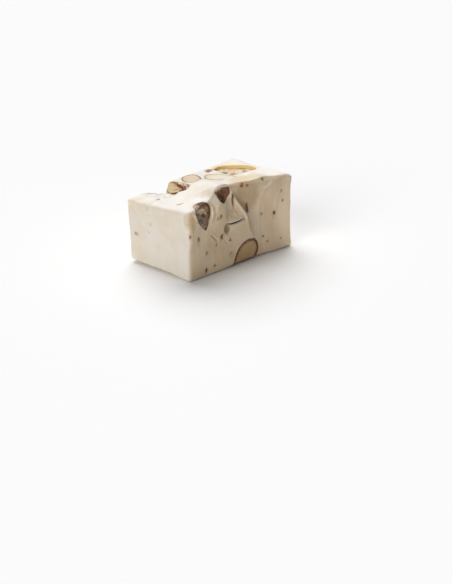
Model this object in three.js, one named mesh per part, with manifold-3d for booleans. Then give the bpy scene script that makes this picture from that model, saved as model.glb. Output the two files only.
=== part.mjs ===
// A bar of soft almond nougat, cut by hand from a thick slab, lying on its long flat side.
// Millimetres, +Z up. +X runs along the bar's length and +Y across it, from its front to its back.
// The origin is on the table, under the middle of the bar.
import * as THREE from "three";
import { mergeVertices } from "three/addons/utils/BufferGeometryUtils.js";
import Module from "manifold-3d";

const { clamp, degToRad, lerp, smoothstep } = THREE.MathUtils;

// ---- Driving sizes -----------------------------------------------------------------------------

const LENGTH = 60;
const WIDTH = 36.8;
const EDGE_ROUND = 1.5; // radius of the soft edges
const GAP = 0.3; // clearance between an almond and its socket
const TABLE_CLEAR = 0.2; // almonds cut at the underside end this far above the table

// The knife went a little askew: how far each lower corner lies from a true rectangle's, in x and y.
const ASKEW = {
  frontLeft: { x: 0.2, y: 3.4 },
  frontRight: { x: -2.8, y: -0.2 },
  backLeft: { x: 0.4, y: 0 },
  backRight: { x: 0.2, y: -0.2 },
};

// Height of the top along its front and back edges. The left part is lower and ends in a step.
const STEP = { from: -18.4, to: -14.4 };
const FRONT_EDGE = { left: 28.4, stepFoot: 31, stepTop: 33.5, right: 30.8, crown: 0.9 };
const BACK_EDGE = { left: 26.2, stepFoot: 27.6, stepTop: 28.2, right: 29.2, crown: -0.5 };

// A hump stands over the hollow beside the step, and a dish lies left of the chip. The dish ends in a ramp.
// Between the large almond and the broken one the top is a little lower.
const HUMP = { x: -12, y: -14.5, reach: 5.5, height: 2.5 };
const DISH = { x: -13, y: 9, reach: 8, height: -2.8 };
const RAMP = { from: -11.5, to: -6.5 };
const SADDLE = { x: 13.5, y: 1.5, reach: 5, height: -0.7 };

// The right end's front edge is hollow, the left end's back edge leans out to its top, and the lower edges of
// the front and left sides are worn round.
const END_HOLLOW = 1.3;
const END_LEAN = 0.7;
const FRONT_WEAR = { from: -7, to: 14, lift: 0.7, reach: 7 };
const LEFT_WEAR = { from: -7, to: 22, lift: 0.9, reach: 6 };
const WEAR_FADE = 4;

// A fold runs down the front, from the step's top to the arched almond. Right of it the face lies back.
// It shows from the fold to endX.
const FOLD = { topX: -8, topZ: 34, kneeX: 2.5, kneeZ: 20, footX: 5.5, footZ: 9, endX: 27 };
const FOLD_WIDTH = 3;
const FOLD_SETBACK = 3.8;

// A chip is broken out of the top's back edge. Its floor falls to the right and to the back, down to the foot
// of a steep break, which leans to the right by a share of its height.
const CHIP = {
  breakX: -9.2, frontY: 5.2, backY: 18, footZ: 22.9, fallX: 0.3, fallY: 0.2, height: 12, lean: 0.42,
};

// Slow waves of a hand-cut face.
const WAVES = [
  { height: 0.22, x: 0.21, y: 0.27, phase: 0.9 },
  { height: 0.16, x: 0.47, y: -0.33, phase: 0 },
];

// The block's grid: cells along each side, and the rows that round each edge.
const CELLS = { x: 28, y: 13, z: 11 };
const EDGE_ROWS = 2;
const NOMINAL_HEIGHT = 30;

// ---- Almonds -----------------------------------------------------------------------------------

const ALMOND_TAPER = 0.24; // an almond is broad at one end and pointed at the other, unless it states another
const ALMOND_POINT = 0.1;
const ALMOND_SIDES = 10;
const ALMOND_RINGS = 11;
const SLIVER = 0.02; // slivers finer than this are dropped from the cut pieces

// face: the face that cuts the almond. at: the cut's middle in that face, as x and z on the front and back,
// x and y on the top and underside, and y and z on the right end and the chip's break. half: half its length,
// its breadth and its thickness across the face. turn: the pointed end's direction in degrees, anticlockwise
// as seen from outside, from the face's own along. deep: how far its middle lies under the face. sunk: how
// far its cut lies under the face. taper: how pear-shaped it is, where that isn't the usual. hollow: an
// almond of that share of its size, moved by shift, is broken out. skinned: its brown skin shows.
const ALMONDS = {
  almond_arch: { face: "front", at: [0, 2], half: [9, 5.4, 4.5], turn: 223, deep: 0.4, taper: 0.28 },
  almond_hollow_left: { face: "front", at: [-22, 25], half: [6.2, 3.5, 3.4], turn: -77, deep: 0.8,
    taper: 0.55, hollow: { share: 0.86, shift: [-1.1, -1.6, 0.4] }, skinned: true },
  almond_hollow_right: { face: "front", at: [-11.8, 31.3], half: [3.9, 3.3, 2.9], turn: -84, deep: 0.8,
    taper: 0.5, hollow: { share: 0.84, shift: [-0.5, -1.5, 0.3] }, skinned: true },
  almond_slit: { face: "front", at: [3.2, 22.2], half: [2.4, 0.9, 2.4], turn: 100, deep: 0.6, sunk: 0.5,
    skinned: true },
  almond_chipped: { face: "chip", at: [11.9, 26.3], half: [6.9, 3.6, 1.7], turn: 15, deep: 0 },
  almond_top_small: { face: "top", at: [-1.6, 10.5], half: [7.2, 3.7, 3.2], turn: 240, deep: 0.6,
    taper: 0.1 },
  almond_top_large: { face: "top", at: [4.7, 0.9], half: [8.5, 5.3, 4.6], turn: 80, deep: 0.6, taper: 0.08 },
  almond_top_back: { face: "top", at: [18.6, 5.1], half: [9.6, 6.6, 5], turn: -71, deep: 0.8, taper: 0.12,
    sunk: 1.3 },
  almond_back_1: { face: "back", at: [19.5, 14], half: [9.4, 6.2, 5.5], turn: 38, deep: 0.8 },
  almond_back_2: { face: "back", at: [3.2, 7.4], half: [8.2, 4.8, 5], turn: -22, deep: 0.6 },
  almond_back_3: { face: "back", at: [3.6, 18.2], half: [6.8, 3.8, 4.5], turn: 12, deep: 0.6 },
  almond_back_4: { face: "back", at: [-12.2, 12.4], half: [8.2, 5.6, 5.5], turn: 62, deep: 0.8 },
  almond_back_5: { face: "back", at: [-24, 9.6], half: [7.2, 4, 4.5], turn: -74, deep: 0.5 },
  almond_right_1: { face: "right", at: [-7.5, 18.4], half: [8.2, 5.2, 5], turn: 64, deep: 0.8 },
  almond_right_2: { face: "right", at: [7.4, 7.2], half: [7.4, 4.2, 4.4], turn: -16, deep: 0.6 },
  almond_under_1: { face: "under", at: [-14, 4.5], half: [8.4, 5.2, 4], turn: 25, deep: 1 },
  almond_under_2: { face: "under", at: [15.5, 1.5], half: [8.6, 5.4, 4], turn: -35, deep: 1 },
};

// ---- Materials ---------------------------------------------------------------------------------

const nougatMaterial = new THREE.MeshStandardMaterial({ color: "#ece2d0", roughness: 0.62, metalness: 0 });
const almondMaterial = new THREE.MeshStandardMaterial({ color: "#d3bf94", roughness: 0.55, metalness: 0 });
const skinMaterial = new THREE.MeshStandardMaterial({ color: "#6e4027", roughness: 0.6, metalness: 0 });

// ---- The faces of the bar ----------------------------------------------------------------------

/** The value at x of a straight line through (x0, v0) and (x1, v1). */
const line = (x, x0, v0, x1, v1) => lerp(v0, v1, (x - x0) / (x1 - x0));

/** How high a round swelling, or a dish if its height is negative, stands at (x, y). */
const swelling = (form, x, y) =>
  form.height * Math.exp(-(((x - form.x) / form.reach) ** 2) - ((y - form.y) / form.reach) ** 2);

/** The slow unevenness of a hand-cut face at (a, b). */
const unevenness = (a, b) =>
  WAVES.reduce((sum, wave) => sum + wave.height * Math.sin(wave.x * a + wave.y * b + wave.phase), 0);

/** How high a worn lower edge is lifted at a place along it, and that far in from the edge. */
const wornLift = (wear, at, inward) =>
  wear.lift *
  smoothstep(at, wear.from - WEAR_FADE, wear.from + WEAR_FADE) *
  (1 - smoothstep(at, wear.to - WEAR_FADE, wear.to + WEAR_FADE)) *
  (1 - smoothstep(inward, 0, wear.reach));

/** A lower corner, "frontLeft" for one. */
function corner(name) {
  const isRight = name.endsWith("Right");
  const isBack = name.startsWith("back");
  return {
    x: (isRight ? LENGTH : -LENGTH) / 2 + ASKEW[name].x,
    y: (isBack ? WIDTH : -WIDTH) / 2 + ASKEW[name].y,
  };
}

/** A point of the footprint: u runs from the left end to the right, v from the front to the back. */
function footprint(u, v) {
  const along = (axis, side) => lerp(corner(`${side}Left`)[axis], corner(`${side}Right`)[axis], u);
  return {
    x: lerp(along("x", "front"), along("x", "back"), v),
    y: lerp(along("y", "front"), along("y", "back"), v),
  };
}

/** An edge's height at x: a slope up to the step, the step, and a slightly crowned slope to the right end. */
function edgeHeight(edge, x) {
  const share = clamp((x - STEP.to) / (LENGTH / 2 - STEP.to), 0, 1);
  const left = line(x, -LENGTH / 2, edge.left, STEP.from, edge.stepFoot);
  const right = lerp(edge.stepTop, edge.right, share) + edge.crown * Math.sin(Math.PI * share);
  return lerp(left, right, smoothstep(x, STEP.from, STEP.to));
}

/** The top's height at (x, y). */
function topHeight(x, y) {
  const u = x / LENGTH + 0.5;
  const v = line(y, footprint(u, 0).y, 0, footprint(u, 1).y, 1);
  const slope = lerp(edgeHeight(FRONT_EDGE, x), edgeHeight(BACK_EDGE, x), v);
  const dish = swelling(DISH, x, y) * (1 - smoothstep(x, RAMP.from, RAMP.to));
  return slope + swelling(HUMP, x, y) + dish + swelling(SADDLE, x, y);
}

/** Where the fold crosses the front at height z. */
function foldX(z) {
  return z > FOLD.kneeZ
    ? line(Math.min(z, FOLD.topZ), FOLD.kneeZ, FOLD.kneeX, FOLD.topZ, FOLD.topX)
    : line(Math.max(z, FOLD.footZ), FOLD.footZ, FOLD.footX, FOLD.kneeZ, FOLD.kneeX);
}

/** How far the front lies back at (x, z): most just right of the fold, fading to the right and downwards. */
function foldSetback(x, z) {
  const fold = foldX(z);
  const across = smoothstep(x, fold - FOLD_WIDTH / 2, fold + FOLD_WIDTH / 2);
  const along = clamp(line(x, fold, 1, FOLD.endX, 0), 0, 1);
  return FOLD_SETBACK * across * along * clamp(z / FOLD.topZ, 0, 1) ** 1.4;
}

// Each face: its outward normal, the direction that a turn of 0 points along, and the point at its own two
// coordinates.
const FACES = {
  front: {
    normal: [0, -1, 0],
    along: [1, 0, 0],
    point: (x, z) => [x, footprint(x / LENGTH + 0.5, 0).y + foldSetback(x, z), z],
  },
  back: { normal: [0, 1, 0], along: [-1, 0, 0], point: (x, z) => [x, footprint(x / LENGTH + 0.5, 1).y, z] },
  top: { normal: [0, 0, 1], along: [1, 0, 0], point: (x, y) => [x, y, topHeight(x, y)] },
  under: { normal: [0, 0, -1], along: [1, 0, 0], point: (x, y) => [x, y, 0] },
  right: { normal: [1, 0, 0], along: [0, 1, 0], point: (y, z) => [footprint(1, y / WIDTH + 0.5).x, y, z] },
  chip: {
    normal: [-1, 0, 0],
    along: [0, -1, 0],
    point: (y, z) => [CHIP.breakX + CHIP.lean * (z - CHIP.footZ), y, z],
  },
};

// ---- The block ---------------------------------------------------------------------------------

/** Moves a grid line at t, from -1 to 1, so that the rows at both ends fall within the rounded edges. */
function crowd(t, cells, side) {
  const index = ((t + 1) / 2) * cells;
  const flat = 1 - (2 * EDGE_ROUND) / side;
  if (index < EDGE_ROWS) return line(index, 0, -1, EDGE_ROWS, -flat);
  if (index > cells - EDGE_ROWS) return line(index, cells - EDGE_ROWS, flat, cells, 1);
  return line(index, EDGE_ROWS, -flat, cells - EDGE_ROWS, flat);
}

/** The place on the bar of a point of the unit block: u along it, v across it and w up it, from 0 to 1. */
function barPoint(u, v, w) {
  const foot = footprint(u, v);
  // The columns lean with the fold, most in the middle of the front.
  const lean = (1 - v) ** 2 * (1 - Math.abs(2 * u - 1));
  let x = foot.x + lean * (foldX(w * topHeight(foot.x, foot.y)) - footprint(0.5, 0).x);
  let y = foot.y;
  let z = w * topHeight(x, y);
  z += (wornLift(FRONT_WEAR, x, v * WIDTH) + wornLift(LEFT_WEAR, y, u * LENGTH)) * (1 - w) ** 4;
  const upper = smoothstep(w, 0, 0.2); // the underside stays flat and true
  y += (1 - v) * (foldSetback(x, z) + upper * unevenness(x, z)) + v * upper * unevenness(x + 9, z);
  x += (2 * u - 1) * upper * unevenness(y, z + 5) - END_HOLLOW * u ** 8 * (1 - v) * Math.sin(Math.PI * w);
  const flare = END_LEAN * (1 - u) ** 8 * v * w ** 2;
  x -= flare;
  y += flare;
  z += Math.max(0, 2 * w - 1) * unevenness(x, y + 7);
  return [x, y, z];
}

/** The bar's outer form: a block with soft edges, bent to the bar's faces. */
function blockForm() {
  const geometry = weld(new THREE.BoxGeometry(2, 2, 2, CELLS.x, CELLS.y, CELLS.z));
  const position = geometry.getAttribute("position");
  const size = new THREE.Vector3(LENGTH, WIDTH, NOMINAL_HEIGHT);
  const core = size.clone().divideScalar(2).subScalar(EDGE_ROUND);
  const point = new THREE.Vector3();
  const onCore = new THREE.Vector3();
  for (let i = 0; i < position.count; i += 1) {
    point.set(
      crowd(position.getX(i), CELLS.x, size.x),
      crowd(position.getY(i), CELLS.y, size.y),
      crowd(position.getZ(i), CELLS.z, size.z),
    );
    point.multiply(size).divideScalar(2);
    onCore.copy(point).clamp(core.clone().negate(), core);
    point.sub(onCore).setLength(EDGE_ROUND).add(onCore);
    point.divide(size).addScalar(0.5);
    position.setXYZ(i, ...barPoint(point.x, point.y, point.z));
  }
  return geometry;
}

/** The space of the chip: a box on a floor that falls to the right and to the back. Its right side leans. */
function chipForm() {
  const length = LENGTH / 2;
  const breadth = WIDTH / 2 - CHIP.frontY + 2 * EDGE_ROUND;
  const geometry = weld(new THREE.BoxGeometry(length, breadth, CHIP.height));
  geometry.translate(CHIP.breakX - length / 2, CHIP.frontY + breadth / 2, CHIP.height / 2);
  const position = geometry.getAttribute("position");
  for (let i = 0; i < position.count; i += 1) {
    const up = position.getZ(i);
    const rise = CHIP.fallX * (CHIP.breakX - position.getX(i)) + CHIP.fallY * (CHIP.backY - position.getY(i));
    position.setZ(i, up + CHIP.footZ + rise);
    position.setX(i, position.getX(i) + CHIP.lean * up);
  }
  return geometry;
}

// ---- Almond forms ------------------------------------------------------------------------------

/** An almond in its place: an egg with a pointed end, grown or shrunk by an amount and moved by a shift. */
function almondForm(almond, { share = 1, grow = 0, shift = [0, 0, 0] } = {}) {
  const [length, breadth, thickness] = almond.half.map((value) => value * share + grow);
  const geometry = weld(new THREE.SphereGeometry(1, ALMOND_SIDES, ALMOND_RINGS));
  geometry.rotateZ(-Math.PI / 2); // the poles to the ends
  const position = geometry.getAttribute("position");
  for (let i = 0; i < position.count; i += 1) {
    const along = position.getX(i);
    const slim = 1 - (almond.taper ?? ALMOND_TAPER) * along - ALMOND_POINT * Math.max(along, 0) ** 3;
    const y = position.getY(i) * slim * breadth;
    const z = position.getZ(i) * slim * thickness;
    position.setXYZ(i, along * length, y, z);
  }
  const face = FACES[almond.face];
  const normal = new THREE.Vector3(...face.normal);
  const along = new THREE.Vector3(...face.along);
  const side = new THREE.Vector3().crossVectors(normal, along);
  const middle = new THREE.Vector3(...face.point(...almond.at)).addScaledVector(normal, -almond.deep);
  middle.add(new THREE.Vector3(...shift));
  geometry.rotateZ(degToRad(almond.turn));
  geometry.applyMatrix4(new THREE.Matrix4().makeBasis(along, side, normal).setPosition(middle));
  return geometry;
}

// ---- Solids and meshes -------------------------------------------------------------------------

const wasm = await Module();
wasm.setup();

/** A geometry with only positions, its shared vertices merged. */
function weld(geometry) {
  geometry.deleteAttribute("normal");
  geometry.deleteAttribute("uv");
  return mergeVertices(geometry, 1e-4);
}

/** A closed geometry as a solid that can be cut and joined. */
function solidOf(geometry) {
  const vertProperties = new Float32Array(geometry.getAttribute("position").array);
  const triVerts = new Uint32Array(geometry.index.array);
  return new wasm.Manifold(new wasm.Mesh({ numProp: 3, vertProperties, triVerts }));
}

/** A solid as a named mesh, without the slivers that cuts leave. */
function meshOf(name, solid, material) {
  const { vertProperties, triVerts } = solid.asOriginal().simplify(SLIVER).getMesh();
  const geometry = new THREE.BufferGeometry();
  geometry.setAttribute("position", new THREE.BufferAttribute(vertProperties, 3));
  geometry.setIndex(new THREE.BufferAttribute(triVerts, 1));
  geometry.computeVertexNormals();
  const mesh = new THREE.Mesh(geometry, material);
  mesh.name = name;
  return mesh;
}

/** A solid's largest piece, without scraps that a cut left loose. */
function largest(solid) {
  return solid.decompose().reduce((best, piece) => (piece.volume() > best.volume() ? piece : best));
}

/** An almond as it lies in the bar: cut level with its face or a little under it, and maybe broken out. */
function almondSolid(almond, block) {
  const inward = FACES[almond.face].normal.map((value) => -value * (almond.sunk ?? 0));
  let solid = solidOf(almondForm(almond));
  solid = solid.intersect(block.translate(inward)).intersect(block.translate([0, 0, TABLE_CLEAR]));
  if (almond.hollow) solid = solid.subtract(solidOf(almondForm(almond, almond.hollow)));
  return largest(solid);
}

// ---- The bar -----------------------------------------------------------------------------------

const bar = new THREE.Group();
const block = solidOf(blockForm()).subtract(solidOf(chipForm()));
let nougat = block;
for (const [name, almond] of Object.entries(ALMONDS)) {
  nougat = nougat.subtract(solidOf(almondForm(almond, { grow: GAP })));
  bar.add(meshOf(name, almondSolid(almond, block), almond.skinned ? skinMaterial : almondMaterial));
}
bar.add(meshOf("nougat", largest(nougat), nougatMaterial));

export default bar;
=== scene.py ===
"""A bar of soft almond nougat, cut by hand from a slab: its looks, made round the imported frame.

Every length below is in millimetres unless a name or a comment says otherwise. The frame is in metres, +Z up,
+X along the bar and +Y across it, from its front to its back.
"""

import logging
import math
from dataclasses import dataclass
from enum import Enum
from functools import partial

import bpy
import numpy as np
from mathutils import Matrix, Vector, noise
from mathutils.bvhtree import BVHTree

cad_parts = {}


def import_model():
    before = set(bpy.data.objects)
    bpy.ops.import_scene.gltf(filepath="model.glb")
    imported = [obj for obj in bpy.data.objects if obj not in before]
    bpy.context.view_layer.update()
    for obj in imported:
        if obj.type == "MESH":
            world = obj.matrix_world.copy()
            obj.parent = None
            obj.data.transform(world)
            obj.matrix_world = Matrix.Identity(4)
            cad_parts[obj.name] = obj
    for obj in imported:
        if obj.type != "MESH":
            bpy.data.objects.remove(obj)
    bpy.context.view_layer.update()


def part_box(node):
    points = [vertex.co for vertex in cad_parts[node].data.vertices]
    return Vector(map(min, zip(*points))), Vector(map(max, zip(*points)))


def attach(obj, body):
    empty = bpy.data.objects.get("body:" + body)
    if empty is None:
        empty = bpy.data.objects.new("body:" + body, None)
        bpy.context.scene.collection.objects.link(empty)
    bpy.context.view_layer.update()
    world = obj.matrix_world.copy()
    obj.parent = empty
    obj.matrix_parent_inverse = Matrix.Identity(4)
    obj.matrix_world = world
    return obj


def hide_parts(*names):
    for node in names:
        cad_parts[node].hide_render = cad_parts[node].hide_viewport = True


MM = 0.001
LOG = logging.getLogger("nougat")

Vec3 = tuple[float, float, float]
Pair = tuple[float, float]


# ---- Numbers -----------------------------------------------------------------------------------


def smoothstep(x: np.ndarray, low: float, high: float) -> np.ndarray:
    """0 below low, 1 above high and an even S between them."""
    share = np.clip((x - low) / (high - low), 0, 1)
    return share * share * (3 - 2 * share)


def lerp(a: np.ndarray, b: np.ndarray, share: np.ndarray) -> np.ndarray:
    """The value at that share of the way from a to b."""
    return a + (b - a) * share


def cloudy(points: np.ndarray, size: float, seed: float, octaves: int = 2) -> np.ndarray:
    """Soft unevenness, from about -1 to 1.

    Args:
        points: one row for each point.
        size: how wide its swellings are, in the points' own unit.
        seed: another number gives another pattern.
        octaves: how many finer layers lie on the first.

    Returns:
        One value for each point.
    """
    offset = Vector((seed * 17.3, seed * -9.1, seed * 5.7))
    return np.array([noise.fractal(Vector(p) / size + offset, 1.0, 2.0, octaves) for p in points])


def distance_to_path(points: np.ndarray, path: tuple[Pair, ...]) -> tuple[np.ndarray, np.ndarray]:
    """How far flat points lie from a path of straight pieces.

    Args:
        points: one row of two coordinates for each point.
        path: the path's own points in order.

    Returns:
        The distance of each point, and where along the path its nearest place is, from 0 to 1.
    """
    best = np.full(len(points), np.inf)
    share = np.zeros(len(points))
    pieces = list(zip(path, path[1:]))
    for index, (start, end) in enumerate(pieces):
        a, d = np.array(start), np.subtract(end, start)
        t = np.clip(((points - a) @ d) / (d @ d), 0, 1)
        distance = np.linalg.norm(points - a - t[:, None] * d, axis=1)
        nearer = distance < best
        best[nearer] = distance[nearer]
        share[nearer] = (index + t[nearer]) / len(pieces)
    return best, share


# ---- Meshes ------------------------------------------------------------------------------------


def deselect_all() -> None:
    """Leave nothing selected, so that an operator acts only on what comes next."""
    bpy.ops.object.select_all(action="DESELECT")


def pick(*objects: bpy.types.Object) -> None:
    """Select only these objects and make the first one active."""
    deselect_all()
    for thing in objects:
        thing.select_set(True)
    bpy.context.view_layer.objects.active = objects[0]


def rows(items: bpy.types.bpy_prop_collection, key: str) -> np.ndarray:
    """What each of a mesh's vertices, normals or faces has under this name, one row of three each."""
    flat = np.empty(len(items) * 3)
    items.foreach_get(key, flat)
    return flat.reshape(-1, 3)


def coordinates(thing: bpy.types.Object) -> np.ndarray:
    """The places of a mesh's vertices in millimetres, one row each."""
    return rows(thing.data.vertices, "co") / MM


def vertex_normals(thing: bpy.types.Object) -> np.ndarray:
    """The normal at each vertex, one row each."""
    return rows(thing.data.vertex_normals, "vector")


def move_vertices(thing: bpy.types.Object, points: np.ndarray) -> None:
    """Put a mesh's vertices at these places in millimetres."""
    thing.data.vertices.foreach_set("co", (points * MM).ravel())
    thing.data.update()


def apply_modifier(thing: bpy.types.Object, kind: str, **settings: object) -> None:
    """Add a modifier with these settings to a mesh and apply it."""
    modifier = thing.modifiers.new(kind.title(), kind)
    for name, value in settings.items():
        setattr(modifier, name, value)
    pick(thing)
    bpy.ops.object.modifier_apply(modifier=modifier.name)


def combine(thing: bpy.types.Object, tool: bpy.types.Object, operation: str) -> None:
    """Cut a closed mesh with another one: DIFFERENCE takes the tool away, INTERSECT keeps what both share."""
    apply_modifier(thing, "BOOLEAN", object=tool, operation=operation, solver="MANIFOLD")


def scrap(*objects: bpy.types.Object) -> None:
    """Delete tools that aren't needed any more."""
    pick(*objects)
    bpy.ops.object.delete()


def gridded_cube(cuts: int) -> bpy.types.Object:
    """Add a cube of one millimetre about the origin, with this many cuts across each side."""
    deselect_all()
    bpy.ops.mesh.primitive_cube_add(size=MM)
    bpy.ops.object.mode_set(mode="EDIT")
    bpy.ops.mesh.select_all(action="SELECT")
    bpy.ops.mesh.subdivide(number_cuts=cuts)
    bpy.ops.object.mode_set(mode="OBJECT")
    return bpy.context.object


def save_attribute(thing: bpy.types.Object, name: str, values: np.ndarray) -> None:
    """Keep one number, a vector of three or a colour of four for each vertex, for the materials to read."""
    kinds = {1: ("FLOAT", "value"), 3: ("FLOAT_VECTOR", "vector"), 4: ("FLOAT_COLOR", "color")}
    kind, key = kinds[values.size // len(values)]
    attribute = thing.data.attributes.new(name, kind, "POINT")
    attribute.data.foreach_set(key, values.astype(np.float32).ravel())


def hand_over(
    thing: bpy.types.Object,
    name: str,
    material: bpy.types.Material,
    nodes: tuple[str, ...] = (),
    crease: float = 45.0,
) -> None:
    """Finish a piece and fix it to the frame.

    Args:
        thing: the finished mesh.
        name: the piece's own name.
        material: its finish.
        nodes: the frame's nodes that it stands for.
        crease: edges sharper than this many degrees stay sharp.
    """
    thing.name = thing.data.name = name
    thing.data.materials.clear()  # a boolean cut leaves an empty slot
    thing.data.materials.append(material)
    pick(thing)
    bpy.ops.object.shade_smooth_by_angle(angle=math.radians(crease))
    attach(thing, "root")
    if nodes:
        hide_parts(*nodes)
    LOG.info("%s: %d faces", name, len(thing.data.polygons))


# ---- The bar's own form ------------------------------------------------------------------------


class Face(Enum):
    """A face of the bar: its name, the way it looks, the direction on it of a turn of 0, and which two
    coordinates give a place on it. Only the name tells the break in the chip from the left end."""

    FRONT = "front", (0, -1, 0), (1, 0, 0), (0, 2)
    BACK = "back", (0, 1, 0), (-1, 0, 0), (0, 2)
    TOP = "top", (0, 0, 1), (1, 0, 0), (0, 1)
    UNDER = "under", (0, 0, -1), (1, 0, 0), (0, 1)
    LEFT = "left", (-1, 0, 0), (0, -1, 0), (1, 2)
    RIGHT = "right", (1, 0, 0), (0, 1, 0), (1, 2)
    CHIP = "chip", (-1, 0, 0), (0, -1, 0), (1, 2)

    def __init__(self, label: str, normal: Vec3, along: Vec3, axes: tuple[int, int]) -> None:
        """Keep the face's values."""
        self.label, self.normal, self.along, self.axes = label, normal, along, axes

    @property
    def side(self) -> np.ndarray:
        """The direction on the face of a turn of 90 degrees."""
        return np.cross(self.normal, self.along)


@dataclass(frozen=True)
class TopEdge:
    """Height of the top along one long edge: at its left end, the step's foot and top, and its right end, and
    how far it is crowned between the step and the right end."""

    left: float
    step_foot: float
    step_top: float
    right: float
    crown: float


@dataclass(frozen=True)
class Swelling:
    """A round hump on the top, or a dish where its height is negative."""

    x: float
    y: float
    reach: float
    height: float

    def at(self, x: np.ndarray, y: np.ndarray) -> np.ndarray:
        """How high it stands at (x, y)."""
        return self.height * np.exp(-(((x - self.x) / self.reach) ** 2) - ((y - self.y) / self.reach) ** 2)


@dataclass(frozen=True)
class Wear:
    """A lower edge worn round: where it runs, how high it is lifted and how far in it reaches."""

    start: float
    end: float
    lift: float
    reach: float
    fade: float = 4.0

    def at(self, along: np.ndarray, inward: np.ndarray) -> np.ndarray:
        """How high the edge is lifted at a place along it, and that far in from the edge."""
        rise = smoothstep(along, self.start - self.fade, self.start + self.fade)
        fall = 1 - smoothstep(along, self.end - self.fade, self.end + self.fade)
        return self.lift * rise * fall * (1 - smoothstep(inward, 0, self.reach))


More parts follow.
